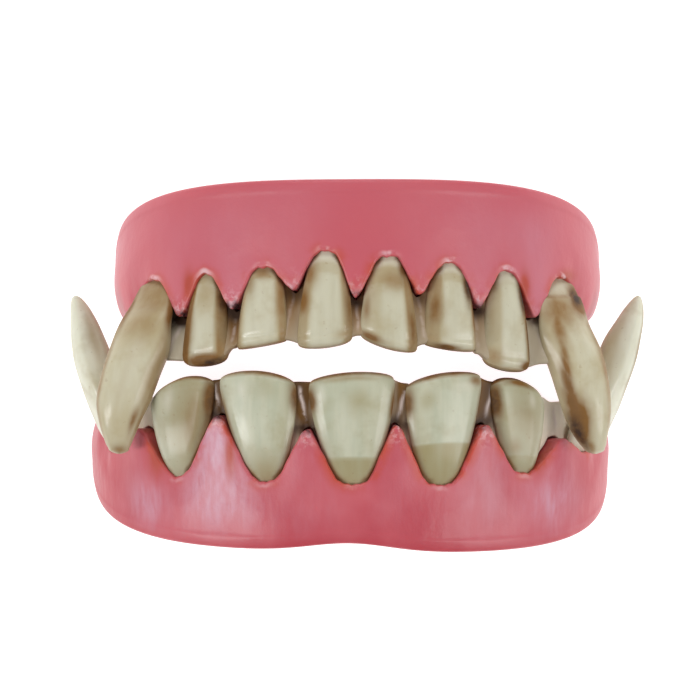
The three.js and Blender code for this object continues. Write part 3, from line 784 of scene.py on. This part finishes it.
def web_surface(plate):
    """A tooth band: a strip section carried along the arch, from under the gum to a wavy free edge.

    The strip narrows to that edge, and its front swells by a bell near each end of the row, below the
    gum. A thin ridge winds up the front at each gap, on the line from the gap's row of the edge to the
    papilla. The mesh keeps the soiling and painted shade under the papillae, the brown of the gaps and
    the ridges' painted glint."""
    reach = math.asin((plate.band_x + BAND_PAST) / plate.half_width)
    turn, _ = stations(plate, WEB_STATIONS, reach)
    front_x, _ = arch(plate, turn, -plate.band_front)
    edge = web_height(plate, front_x)
    top = margin_height(plate, plate.half_width * np.sin(turn)) - BAND_TUCK
    top = np.maximum(top, edge + WEB_LEAST)
    corners = [
        # out, height, radius
        (-BAND_BACK, top, 0.1),
        (-BAND_EDGE, edge, 0.8),
        (-plate.band_front, edge, 0.8),
        (-BAND_TOP, top, 0.1),
    ]
    curve = rounded_section(corners, WEB_CORNER_STEPS)
    share = np.linspace(0.0, 1.0, WEB_FRONT_STEPS + 2)[1:-1, None]
    front = curve[:, 2, -1:] + (curve[:, 3, :1] - curve[:, 2, -1:]) * share
    section = np.concatenate([curve[:, :3].reshape(WEB_STATIONS, -1, 2), front, curve[:, 3]], axis=1)
    height = section[..., 1]
    values = {key: np.zeros(height.shape) for key in ("grime", "brown", "glint")}
    for gap in plate.gaps:
        down = np.clip((gap.gum - height) / (gap.gum - gap.web), 0.0, 1.0)
        beside = front_x[:, None] - gap.x - down * (gap.web_x - gap.x)
        beside += RIDGE_WAVE * np.sin(RIDGE_RATE * height + gap.x)
        # Under each papilla: soiling and painted shade; up each ridge: a painted glint.
        under_gum = bell(height, gap.gum - WEB_GRIME_SHADE_BELOW, WEB_GRIME_SHADE_HEIGHT)
        values["grime"] += gap.grime * bell(beside, 0.0, WEB_GRIME_SHADE_REACH) * under_gum
        fade = 1.0 + plate.web_fade * (0.5 - down)
        values["brown"] += gap.brown * bell(beside, 0.0, WEB_BROWN_REACH) * fade
        values["glint"] += gap.glint * bell(beside, 0.0, GLINT_WIDTH)
    values["glint"] *= smoothstep(height - edge[:, None], *GLINT_RISE)
    swell = plate.swell_left * bell(front_x, -plate.swell_x, SWELL_REACH)
    swell += plate.swell_right * bell(front_x, plate.swell_x, SWELL_REACH)
    ahead = swell[:, None] * smoothstep(-height, *SWELL_RISE) + GLINT_HEIGHT * values["glint"]
    front_from = 2 * WEB_CORNER_STEPS
    section[:, front_from:, 0] += ahead[:, front_from:]
    section_x, section_z = arch(plate, turn[:, None], section[..., 0])
    return in_row(plate, section_x, height, section_z), values


def tooth_outline(left, right, radius):
    """A tooth's section: a flat front panel that reaches so far each way, bevels and a narrower back."""
    right_bevel = (1.0 + right) / 2 + 0.06
    left_bevel = (1.0 + left) / 2 + 0.06
    corners = [(1.0, 0.0), (right_bevel, 0.55), (right, 0.98), ((right - left) / 2, 1.04)]
    corners += [(-left, 0.98), (-left_bevel, 0.55), (-1.0, 0.0), (-0.6, -1.0), (0.6, -1.0)]
    return unit_outline(corners, radius)


def tooth_surface(plate, tooth):
    """A tooth: its outline widened and deepened from neck to edge, set on the arch at the tooth's turn.

    The biting edge slants with the distance across, bows with its square and is cut back at its corners
    by its eighth power. A crease may cross the front near the edge."""
    side, deep = tooth_outline(tooth.panel_left, tooth.panel_right, plate.panel_round)
    along = np.concatenate([
        np.linspace(TOOTH_ALONG[0], CROWDED_FROM, TOOTH_STEPS // 2, endpoint=False),
        np.linspace(CROWDED_FROM, 1.0, TOOTH_STEPS // 2),
    ])
    front = through(TOOTH_ALONG, TOOTH_FRONT, along)
    front -= plate.crease * bell(along, CREASE_AT, CREASE_REACH)
    back = through(TOOTH_ALONG, TOOTH_BACK, along)
    widened = through(TOOTH_ALONG, TOOTH_WIDTH, along)
    half = (tooth.neck_width + (tooth.edge_width - tooth.neck_width) * widened) / 2
    along = along[:, None]
    across = half[:, None] * side
    ahead = (front + back)[:, None] / 2 + (front - back)[:, None] / 2 * deep
    reach = np.clip(along, 0.0, None)
    height = tooth.neck + (tooth.edge - tooth.neck) * along
    height = height + reach * (tooth.slant * across + tooth.bow * side**2)
    height = height + tooth.corner * reach**3 * side**8
    across = across + tooth.lean * along
    turn = math.asin(tooth.x / plate.half_width)
    facing = TOOTH_FACING * turn
    foot_x, foot_z = arch(plate, turn, 0.0)
    x = foot_x + across * math.cos(facing) + ahead * math.sin(facing)
    z = foot_z - across * math.sin(facing) + ahead * math.cos(facing)
    below_gum = margin_height(plate, x) - height
    stains = tooth_stains(plate, tooth, along, side, below_gum)
    return in_row(plate, x, height, z), add_spots(stains, plate.spots[tooth.name], along, side)


def add_spots(stains, spots, along, side):
    """Adds soft oval spots to a tooth's stains and painted highlights, each the product of a bell along it
    and one across it.
    """
    for spot in spots:
        mask = bell(along, spot.along, spot.along_reach) * bell(side, spot.side, spot.side_reach)
        for key in STAINS:
            stains[key] = np.maximum(stains[key], getattr(spot, key) * mask)
    return stains


def tooth_stains(plate, tooth, along, side, below_gum):
    """Where a tooth is pale, tan, brown and dark.

    It is pale at its collar, tan on a neck band and on the bevels beside its panel, and brown on the
    strongest bevels and at its biting edge. Its flanks just below the gum are brown, partly soiling and
    partly painted shade under the gum's lip, and dark where they meet the gum, which is painted shade.
    It is dark at its sides."""
    stain = plate.stains[tooth.name]
    soft = plate.bevel_soft
    arched = along - plate.neck_arch * side**2
    pale = stain.collar * smoothstep(arched, *COLLAR_FADE)
    band = stain.band * smoothstep(arched, stain.band_end + BAND_SOFT, stain.band_end - BAND_SOFT)
    bevel = stain.left * smoothstep(-side, tooth.panel_left - soft, tooth.panel_left + soft)
    bevel = bevel + stain.right * smoothstep(side, tooth.panel_right - soft, tooth.panel_right + soft)
    bevel = bevel * smoothstep(along, *BEVEL_RISE)
    edge = stain.edge * smoothstep(along, *EDGE_RISE)
    flank = smoothstep(np.abs(side), *FLANK_RISE)
    # Painted shade under the gum's lip: brown a little below it, partly soiling, and dark where the flank
    # meets it.
    seam = flank * smoothstep(below_gum, *SEAM_FADE)
    crevice = flank * smoothstep(below_gum, *CREVICE_FADE)
    brown = np.maximum(np.maximum(1.7 * (bevel - 0.5), edge), 0.75 * seam)
    dark = np.maximum(0.6 * smoothstep(np.abs(side), *SIDE_RISE), 0.55 * crevice)
    return {"pale": pale, "tan": np.maximum(band, bevel), "brown": brown, "dark": dark}


def horn_surface(plate, rows, outline, hand, spots, collar):
    """A fang or tusk: a ridged unit outline scaled by smooth curves through the rows, from root to tip.

    A left one is mirrored. The section is sheared with the arch at the root, and less further on. A
    collar is a step near the root, pale above its brown crease."""
    side, deep = (part / np.abs(part).max() for part in outline)
    sign = 1 if hand == "right" else -1
    root, tip = rows[0].height, rows[-1].height
    stops = np.array([root - row.height for row in rows]) / (root - tip)
    along = 1.0 - (1.0 - np.linspace(0.0, 1.0, HORN_STEPS)) ** TIP_CROWDING
    keys = (hand + "_x", hand + "_width", "z", "thickness")
    middle, width, z, thick = (through(stops, [getattr(row, key) for row in rows], along) for key in keys)
    height = root + (tip - root) * along
    step = collar * smoothstep(height, COLLAR_HEIGHT - COLLAR_SOFT, COLLAR_HEIGHT + COLLAR_SOFT)
    half = (width / 2 - COLLAR_STEP * step)[:, None]
    half_thick = (thick / 2 - COLLAR_DEPTH * step)[:, None]
    x = sign * (middle[:, None] + half * side)
    turned = ROOT_TURN * smoothstep(along, *ROOT_TURN_FADE)[:, None]
    z = z[:, None] + half_thick * deep - turned * half * side
    stains = {key: np.zeros(x.shape) for key in STAINS}
    stains["pale"] += COLLAR_PALE * step[:, None]
    stains["brown"] += CREASE_BROWN * collar * bell(height, COLLAR_HEIGHT, COLLAR_CREASE)[:, None]
    points = in_row(plate, x, height[:, None] + 0.0 * side, z)
    return points, add_spots(stains, spots, along[:, None], side)


def closed_mesh(name, points, values):
    """A mesh of quads over a grid whose columns close on themselves, with caps on its first and last row.

    The faces are turned round where the signed volume is negative, so they point outwards."""
    rows, columns = points.shape[:2]
    index = np.arange(rows * columns).reshape(rows, columns)
    right = np.roll(index, -1, axis=1)
    quads = np.stack([index[:-1], right[:-1], right[1:], index[1:]], axis=-1).reshape(-1, 4)
    flat = points.reshape(-1, 3)
    a, b, c, d = (flat[quads[:, k]] for k in range(4))
    volume = np.sum(a * np.cross(b, c)) + np.sum(a * np.cross(c, d))
    first, last = index[0, ::-1], index[-1]
    for cap in (first, last):
        fan = flat[cap]
        volume += np.sum(fan[0] * np.cross(fan[1:-1], fan[2:]))
    if volume < 0.0:
        quads = quads[:, ::-1]
        first, last = first[::-1], last[::-1]
    mesh = bpy.data.meshes.new(name)
    mesh.from_pydata(flat, [], quads.tolist() + [first.tolist(), last.tolist()])
    mesh.shade_smooth()
    mesh.set_sharp_from_angle(angle=math.radians(SHARP_DEGREES))
    for key, value in values.items():
        attribute = mesh.attributes.new(key, "FLOAT", "POINT")
        attribute.data.foreach_set("value", np.ascontiguousarray(value, np.float32).ravel())
    return mesh


def add_piece(name, points, values, finish, node):
    """Puts a surface into the scene in place of its CAD node, with its finish and material slot."""
    mesh = closed_mesh(name, points, values)
    mesh.materials.append(finish)
    piece = bpy.data.objects.new(name, mesh)
    bpy.context.scene.collection.objects.link(piece)
    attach(piece, "root")
    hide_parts(node)


class Wire:
    """A shader socket that takes part in Python sums; each sum adds a Math node."""

    def __init__(self, finish, socket):
        self.finish = finish
        self.socket = socket

    def __add__(self, other):
        return self.finish.maths("ADD", self, other)

    def __sub__(self, other):
        return self.finish.maths("SUBTRACT", self, other)

    def __mul__(self, other):
        return self.finish.maths("MULTIPLY", self, other)

    __radd__ = __add__


class Finish:
    """A material whose nodes are added one call at a time."""

    def __init__(self, name):
        self.material = bpy.data.materials.new(name)
        self.material.use_nodes = True
        self.nodes = self.material.node_tree.nodes
        self.links = self.material.node_tree.links
        self.shader = self.nodes["Principled BSDF"]

    def node(self, kind, settings, sockets, output=0):
        """Adds a node, sets its settings, then sets or links its sockets, and gives one output."""
        node = self.nodes.new(kind)
        for key, value in settings.items():
            setattr(node, key, value)
        self.fill(node, sockets)
        return Wire(self, node.outputs[output])

    def fill(self, node, sockets):
        """Sets each named socket of a node to a value, or links a wire to it."""
        for key, value in sockets.items():
            if isinstance(value, Wire):
                self.links.new(value.socket, node.inputs[key])
            else:
                node.inputs[key].default_value = value

    def maths(self, operation, first, second):
        """A Math node on two values."""
        return self.node("ShaderNodeMath", {"operation": operation}, {0: first, 1: second})

    def ramp(self, value, start, end):
        """0 before start, 1 after end and an S curve between; falling where the end is the lower."""
        settings = {"interpolation_type": "SMOOTHSTEP"}
        return self.node("ShaderNodeMapRange", settings, {0: value, 1: start, 2: end})

    def mix(self, factor, first, second):
        """A colour between two, each a wire or three numbers."""
        first, second = (tone if isinstance(tone, Wire) else (*tone, 1.0) for tone in (first, second))
        settings = {"data_type": "RGBA", "clamp_factor": True}
        return self.node("ShaderNodeMix", settings, {0: factor, 6: first, 7: second}, 2)

    def attributes(self, *names):
        """Values stored on the mesh."""
        return [self.node("ShaderNodeAttribute", {"attribute_name": name}, {}, "Fac") for name in names]

    def noise(self, size, detail=3.0, stretch=(1.0, 1.0, 1.0)):
        """Noise with features of that size in metres, on Object coordinates, stretched by three factors."""
        coordinates = self.node("ShaderNodeTexCoord", {}, {}, "Object")
        scale = tuple(1.0 / factor for factor in stretch)
        placed = self.node("ShaderNodeMapping", {}, {"Vector": coordinates, "Scale": scale})
        sockets = {"Vector": placed, "Scale": 1.0 / size, "Detail": detail, "Roughness": 0.55}
        return self.node("ShaderNodeTexNoise", {}, sockets)

    def bump(self, height, distance):
        """A normal bent by a height, which is a share of the distance in metres."""
        return self.node("ShaderNodeBump", {}, {"Height": height, "Distance": distance})


# In the finishes a noise's size is in metres, and the other numbers are ends of ramps and shares of mixes.
def gum_finish(name, body, brushed, settings):
    """Soft pink vinyl with clouds, and with a lilac tint and painted sheen that may be brushed into upright
    streaks.

    Its margin is orange red, partly its own tint and partly painted warm bounce light, and some patches
    are painted red shade. Painted highlights lie as pale lines along the margin at the necks and
    papillae and speckle the papillae, which are pitted, with soiling and painted shade round them and
    at the margin's wall."""
    finish = Finish(name)
    ramp, mix, noise = finish.ramp, finish.mix, finish.noise
    margin, papilla, bloom, red_shade, neck = finish.attributes("margin", "papilla", "bloom", "red_shade", "neck")
    cloud = noise(0.012)
    patch = noise(0.004)
    mottle = noise(0.002)
    grain = noise(0.0006)
    streak = noise(0.0014, 5.0, (1.0, 4.0, 1.0))
    pink = mix(ramp(cloud, 0.35, 0.7), body, settings.mottle)
    # Lilac tint and painted sheen below the papillae, in upright streaks where brushed.
    lilac = bloom * (ramp(streak, 0.3, 0.7) * brushed + 0.5 - brushed * 0.5)
    pink = mix(lilac, pink, settings.bloom)
    # Orange red near the margin, partly the vinyl's tint and partly painted warm bounce light, and painted
    # red shade in patches.
    red_tint_and_bounce = ramp(margin, 1.6, 0.2) * ramp(patch, 0.45, 0.6) * 0.7
    red_tint_and_bounce = red_tint_and_bounce + ramp(margin, 0.5, 0.1) * 0.25 + red_shade * 1.1
    pink = mix(red_tint_and_bounce, pink, settings.lip)
    # Painted highlights: pale lines along the margin at the necks and papillae, and pale specks on the
    # papillae.
    edge_line = ramp(margin, 0.9, 0.45) * ramp(margin, 0.05, 0.25)
    lit = edge_line * (neck * 0.9 + papilla * 0.4) * ramp(mottle, 0.35, 0.55)
    pink = mix(lit, pink, settings.glint)
    pink = mix(papilla * ramp(grain, 0.5, 0.62) * 0.6, pink, settings.glint)
    # Soiling and painted shade at the margin's wall, in the red patches and round the papillae.
    seam = ramp(margin, 0.25, 0.02) * ramp(mottle, 0.4, 0.6)
    soiled_and_shaded = ramp(papilla, 0.5, 1.1) * ramp(margin, 0.8, 0.1)
    soil_and_shade = seam * 0.2 + red_shade * 0.2 + soiled_and_shaded * ramp(mottle, 0.35, 0.55)
    pink = mix(soil_and_shade, pink, settings.grime)
    relief = mottle * 0.4 + streak * brushed + grain * 0.1 + papilla * grain * 0.9
    sockets = {
        "Base Color": pink,
        "Roughness": 0.34 + ramp(cloud, 0.3, 0.7) * 0.06 - papilla * 0.1,
        "Normal": finish.bump(relief, 0.00016),
        "Subsurface Weight": 0.12,
        "Subsurface Radius": (1.0, 0.35, 0.25),
        "Subsurface Scale": 0.002,
        "Specular IOR Level": 0.28,
        "Coat Weight": 0.08,
        "Coat Roughness": 0.25,
    }
    finish.fill(finish.shader, sockets)
    return finish.material


def ivory_finish(name, body, tan_tone, settings):
    """Painted ivory: upright streaks, blotches and flecks, with stains, painted shade and painted
    highlights where the mesh has them.
    """
    finish = Finish(name)
    ramp, mix, noise = finish.ramp, finish.mix, finish.noise
    pale, tan, brown, dark = finish.attributes(*STAINS)
    streak = noise(0.0016, 3.0, (1.0, 7.0, 1.0))
    blotch = noise(0.0035)
    fleck = noise(0.0007)
    ivory = mix(ramp(streak, 0.3, 0.7) * 0.5, body, settings.cream)
    ivory = mix(ramp(blotch, 0.45, 0.75) * 0.4, ivory, tan_tone)
    ivory = mix(tan * (ramp(streak, 0.1, 0.7) * 0.3 + 0.7), ivory, tan_tone)
    # Collars, and pale spots that are painted highlights.
    ivory = mix(pale * 0.7, ivory, settings.pale)
    worn = brown * (ramp(blotch, 0.3, 0.65) * 0.4 + ramp(streak, 0.3, 0.7) * 0.3 + 0.6)
    ivory = mix(worn, ivory, settings.brown)
    # Dark stains, and painted shade where the flanks meet the gum.
    ivory = mix(dark * (ramp(fleck, 0.2, 0.6) * 0.4 + 0.5), ivory, settings.dark)
    ivory = mix(ramp(fleck, 0.66, 0.74) * 0.2, ivory, settings.brown)
    sockets = {
        "Base Color": ivory,
        "Roughness": 0.46 + brown * 0.1,
        "Normal": finish.bump(streak * 0.5 + fleck * 0.1, 0.00006),
        "Subsurface Weight": 0.1,
        "Subsurface Radius": (1.0, 0.8, 0.5),
        "Subsurface Scale": 0.0015,
        "Specular IOR Level": 0.25,
        "Coat Weight": ramp(brown, 0.8, 0.0) * 0.35,
        "Coat Roughness": 0.16,
    }
    finish.fill(finish.shader, sockets)
    return finish.material


def web_finish(name, body, settings):
    """Web between the teeth: streaky and brown in most gaps, and nearly black under the papillae from
    soiling and painted shade.

    Its ridges are painted pale, as highlights."""
    finish = Finish(name)
    ramp, mix = finish.ramp, finish.mix
    grime, brown, glint = finish.attributes("grime", "brown", "glint")
    streak = finish.noise(0.0012, 2.0, (1.0, 5.0, 1.0))
    patch = finish.noise(0.0015)
    web = mix(ramp(streak, 0.35, 0.8) * 0.35, body, settings.cream)
    web = mix(brown * (ramp(streak, 0.25, 0.65) * 0.3 + 0.6), web, settings.brown)
    web = mix((brown - 0.8) * 0.9, web, settings.dark)
    # Painted highlights on the ridges.
    web = mix(glint * ramp(patch, 0.35, 0.55) * 0.85, web, settings.glint)
    # Soiling and painted shade under the papillae.
    web = mix(grime * (ramp(patch, 0.2, 0.6) * 0.5 + 0.6), web, settings.dark)
    sockets = {
        "Base Color": web,
        "Roughness": 0.5,
        "Normal": finish.bump(streak, 0.00008),
        "Specular IOR Level": 0.12,
        "Coat Weight": 0.05,
        "Coat Roughness": 0.15,
    }
    finish.fill(finish.shader, sockets)
    return finish.material


def floor_finish(settings):
    """A plain pale sweep, a little brighter than its light alone would make it."""
    finish = Finish("pale_floor")
    grain = finish.noise(0.02)
    tone = finish.mix(grain * 0.04, settings.floor, (0.5, 0.5, 0.5))
    sockets = {
        "Base Color": tone,
        "Roughness": 0.9,
        "Emission Color": WHITE,
        "Emission Strength": settings.floor_glow,
    }
    finish.fill(finish.shader, sockets)
    return finish.material


def colour_setting(name, description, default):
    """A colour setting with its name, description and default."""
    return bpy.props.FloatVectorProperty(
        name=name, description=description, default=default, subtype="COLOR", min=0.0, max=1.0
    )


def number_setting(name, description, default, unit="NONE"):
    """A number setting from 0 up, with its name, description, default and unit."""
    return bpy.props.FloatProperty(name=name, description=description, default=default, min=0.0, unit=unit)


class GumSettings(bpy.types.PropertyGroup):
    """Sizes and colours of the two gums."""

    upper: colour_setting("Upper gum", "Pink of the upper gum", (0.57, 0.115, 0.145))
    lower: colour_setting("Lower gum", "Pink of the lower gum", (0.5, 0.067, 0.088))
    mottle: colour_setting("Mottle", "Paler pink of the gums' clouds", (0.58, 0.12, 0.145))
    # Lilac tint, also the colour of the painted sheen below the papillae.
    bloom: colour_setting("Bloom", "Lilac bloom below the papillae", (0.62, 0.35, 0.44))
    # Colour of the painted highlights on the lip and the papillae.
    glint: colour_setting("Glint", "Pale lines on the lip and the papillae", (0.78, 0.5, 0.53))
    # Also the colour of the painted warm bounce light and red shade by the teeth.
    lip: colour_setting("Lip", "Orange red of the margin", (0.54, 0.08, 0.05))
    # Also the colour of the painted shade round the papillae and at the margin's wall.
    grime: colour_setting("Grime", "Dirt round the papillae", (0.09, 0.03, 0.035))
    lip_roll: number_setting("Lip roll", "Radius of the gum's lip", 0.0003, "LENGTH")
    lip_bead: number_setting("Lip bead", "Height of the bead behind the lip", 0.00003, "LENGTH")


class ToothSettings(bpy.types.PropertyGroup):
    """Colours of the teeth and of the web between them."""

    upper: colour_setting("Upper ivory", "Ivory of the upper teeth", (0.55, 0.52, 0.38))
    lower: colour_setting("Lower ivory", "Greener ivory of the lower teeth", (0.48, 0.5, 0.37))
    fang: colour_setting("Fang ivory", "Yellower ivory of the fangs", (0.55, 0.5, 0.34))
    tusk: colour_setting("Tusk ivory", "Paler ivory of the tusks", (0.74, 0.73, 0.59))
    cream: colour_setting("Cream", "Pale streaks", (0.66, 0.64, 0.5))
    # Also the colour of the pale spots, which are painted highlights.
    pale: colour_setting("Collar", "Nearly white collars and worn streaks", (0.7, 0.68, 0.56))
    tan: colour_setting("Tan", "Neck bands and blotches", (0.4, 0.31, 0.15))
    olive: colour_setting("Olive", "Neck bands and blotches of the lower teeth", (0.34, 0.29, 0.145))
    # Also the colour of the painted shade just below the gum.
    brown: colour_setting("Brown", "Stained bevels and edges", (0.25, 0.12, 0.03))
    # Also the colour of the painted shade where the teeth meet the gum and under the papillae.
    dark: colour_setting("Dark", "Darkest stains", (0.05, 0.026, 0.015))
    upper_web: colour_setting("Upper web", "Grey-brown of the upper web", (0.44, 0.38, 0.28))
    lower_web: colour_setting("Lower web", "Grey-beige of the lower web", (0.84, 0.76, 0.62))
    # Colour of the painted highlights on the webs' ridges.
    glint: colour_setting("Glint", "Lilac-white ridges on the webs", (0.76, 0.64, 0.59))


class StageSettings(bpy.types.PropertyGroup):
    """Camera, floor and lights."""

    camera_height: number_setting("Camera height", "Height of the camera over the floor", 0.777, "LENGTH")
    view_width: number_setting("View width", "Width seen at the teeth's front", 0.084, "LENGTH")
    front: number_setting("Front", "Height of the teeth's front over the floor", 0.027, "LENGTH")
    floor: colour_setting("Floor", "Colour of the floor", (0.6, 0.6, 0.6))
    floor_glow: number_setting("Floor glow", "Light that the floor adds", 0.85)
    light: number_setting("Light", "Power of each side softbox", 1.65, "POWER")


class FALSETEETH_OT_gums(bpy.types.Operator):
    """Make the two pink gums with their lips, papillae and channels"""

    bl_idname = "falseteeth.gums"
    bl_label = "Make gums"

    def execute(self, context):
        settings = context.scene.false_teeth_gums
        for plate, body in ((UPPER, settings.upper), (LOWER, settings.lower)):
            finish = gum_finish(plate.name + "_gum_vinyl", body, plate.brushed, settings)
            points, values = gum_surface(plate, settings.lip_roll / MM, settings.lip_bead / MM)
            add_piece(plate.name + "_gum_moulding", points, values, finish, plate.name + "_gum")
        return {"FINISHED"}


class FALSETEETH_OT_webs(bpy.types.Operator):
    """Make the webs that join the teeth of each plate"""

    bl_idname = "falseteeth.webs"
    bl_label = "Make webs"

    def execute(self, context):
        settings = context.scene.false_teeth_ivory
        for plate, body in ((UPPER, settings.upper_web), (LOWER, settings.lower_web)):
            finish = web_finish(plate.name + "_web_grime", body, settings)
            points, values = web_surface(plate)
            add_piece(plate.name + "_web", points, values, finish, plate.name + "_tooth_band")
        return {"FINISHED"}


class FALSETEETH_OT_teeth(bpy.types.Operator):
    """Make the six upper and five lower teeth"""

    bl_idname = "falseteeth.teeth"
    bl_label = "Make teeth"

    def execute(self, context):
        settings = context.scene.false_teeth_ivory
        tones = ((UPPER, settings.upper, settings.tan), (LOWER, settings.lower, settings.olive))
        for plate, body, tan_tone in tones:
            finish = ivory_finish(plate.name + "_ivory", body, tan_tone, settings)
            for tooth in plate.teeth:
                node = f"{plate.name}_tooth_{tooth.name}"
                points, stains = tooth_surface(plate, tooth)
                add_piece(node + "_ivory", points, stains, finish, node)
        return {"FINISHED"}


class FALSETEETH_OT_horns(bpy.types.Operator):
    """Make the two fangs of the upper plate and the two tusks of the lower plate"""

    bl_idname = "falseteeth.horns"
    bl_label = "Make fangs and tusks"

    def execute(self, context):
        settings = context.scene.false_teeth_ivory
        fang = ivory_finish("fang_ivory", settings.fang, settings.tan, settings)
        tusk = ivory_finish("tusk_ivory", settings.tusk, settings.tan, settings)
        for hand in ("left", "right"):
            outline = unit_outline(FANG_OUTLINES[hand], FANG_RIDGE_ROUND[hand])
            collar = FANG_COLLAR[hand]
            points, stains = horn_surface(UPPER, FANG_ROWS, outline, hand, FANG_SPOTS[hand], collar)
            add_piece(f"upper_fang_{hand}_ivory", points, stains, fang, f"upper_fang_{hand}")
            outline = unit_outline(TUSK_OUTLINE, TUSK_RIDGE_ROUND)
            points, stains = horn_surface(LOWER, TUSK_ROWS, outline, hand, TUSK_SPOTS[hand], 0.0)
            add_piece(f"lower_tusk_{hand}_ivory", points, stains, tusk, f"lower_tusk_{hand}")
        return {"FINISHED"}


def softbox(name, place, size, power):
    """A rectangular area light of that width and height at a place, facing the aim."""
    light = bpy.data.lights.new(name, "AREA")
    light.shape = "RECTANGLE"
    light.size, light.size_y = size
    light.energy = power
    lamp = bpy.data.objects.new(name, light)
    lamp.location = place
    lamp.rotation_euler = (Vector(AIM) - Vector(place)).to_track_quat("-Z", "Y").to_euler()
    bpy.context.scene.collection.objects.link(lamp)


class FALSETEETH_OT_stage(bpy.types.Operator):
    """Make the camera, the pale floor and the soft lights"""

    bl_idname = "falseteeth.stage"
    bl_label = "Make stage"

    def execute(self, context):
        settings = context.scene.false_teeth_stage
        scene = context.scene
        mesh = bpy.data.meshes.new("floor")
        half = FLOOR_HALF
        corners = [(-half, -half, 0), (half, -half, 0), (half, half, 0), (-half, half, 0)]
        mesh.from_pydata(corners, [], [(0, 1, 2, 3)])
        mesh.materials.append(floor_finish(settings))
        floor = bpy.data.objects.new("floor", mesh)
        scene.collection.objects.link(floor)

        lens = bpy.data.cameras.new("camera")
        lens.sensor_width = SENSOR_WIDTH
        lens.lens = SENSOR_WIDTH * (settings.camera_height - settings.front) / settings.view_width
        camera = bpy.data.objects.new("camera", lens)
        camera.location = (*CAMERA_XY, settings.camera_height)
        scene.collection.objects.link(camera)
        scene.camera = camera

        for name, place, size, share in SOFTBOXES:
            softbox(name, place, size, settings.light * share)

        world = bpy.data.worlds.new("studio")
        world.use_nodes = True
        background = world.node_tree.nodes["Background"]
        background.inputs["Color"].default_value = WHITE
        background.inputs["Strength"].default_value = WORLD_LIGHT
        scene.world = world
        scene.view_settings.view_transform = "Standard"
        return {"FINISHED"}


class FALSETEETH_PT_panel(bpy.types.Panel):
    """Lists the makers of the false teeth and their settings"""

    bl_label = "False teeth"
    bl_idname = "FALSETEETH_PT_panel"
    bl_space_type = "VIEW_3D"
    bl_region_type = "UI"
    bl_category = "False teeth"

    def draw(self, context):
        for maker in MAKERS:
            self.layout.operator(maker.bl_idname)
        for group, target in SETTINGS.items():
            box = self.layout.box()
            for key in target.__annotations__:
                box.prop(getattr(context.scene, group), key)


SETTINGS = {
    "false_teeth_gums": GumSettings,
    "false_teeth_ivory": ToothSettings,
    "false_teeth_stage": StageSettings,
}
MAKERS = (
    FALSETEETH_OT_stage,
    FALSETEETH_OT_gums,
    FALSETEETH_OT_webs,
    FALSETEETH_OT_teeth,
    FALSETEETH_OT_horns,
)
CLASSES = (*SETTINGS.values(), *MAKERS, FALSETEETH_PT_panel)


def register():
    """Registers the classes and hangs the settings on the scene."""
    for item in CLASSES:
        bpy.utils.register_class(item)
    for group, target in SETTINGS.items():
        setattr(bpy.types.Scene, group, bpy.props.PointerProperty(type=target))


def unregister():
    """Takes the settings and the classes away again."""
    for group in SETTINGS:
        delattr(bpy.types.Scene, group)
    for item in reversed(CLASSES):
        bpy.utils.unregister_class(item)


def main():
    """Makes the whole scene."""
    register()
    bpy.ops.falseteeth.stage()
    bpy.ops.falseteeth.gums()
    bpy.ops.falseteeth.webs()
    bpy.ops.falseteeth.teeth()
    bpy.ops.falseteeth.horns()


if __name__ == "__main__":
    main()
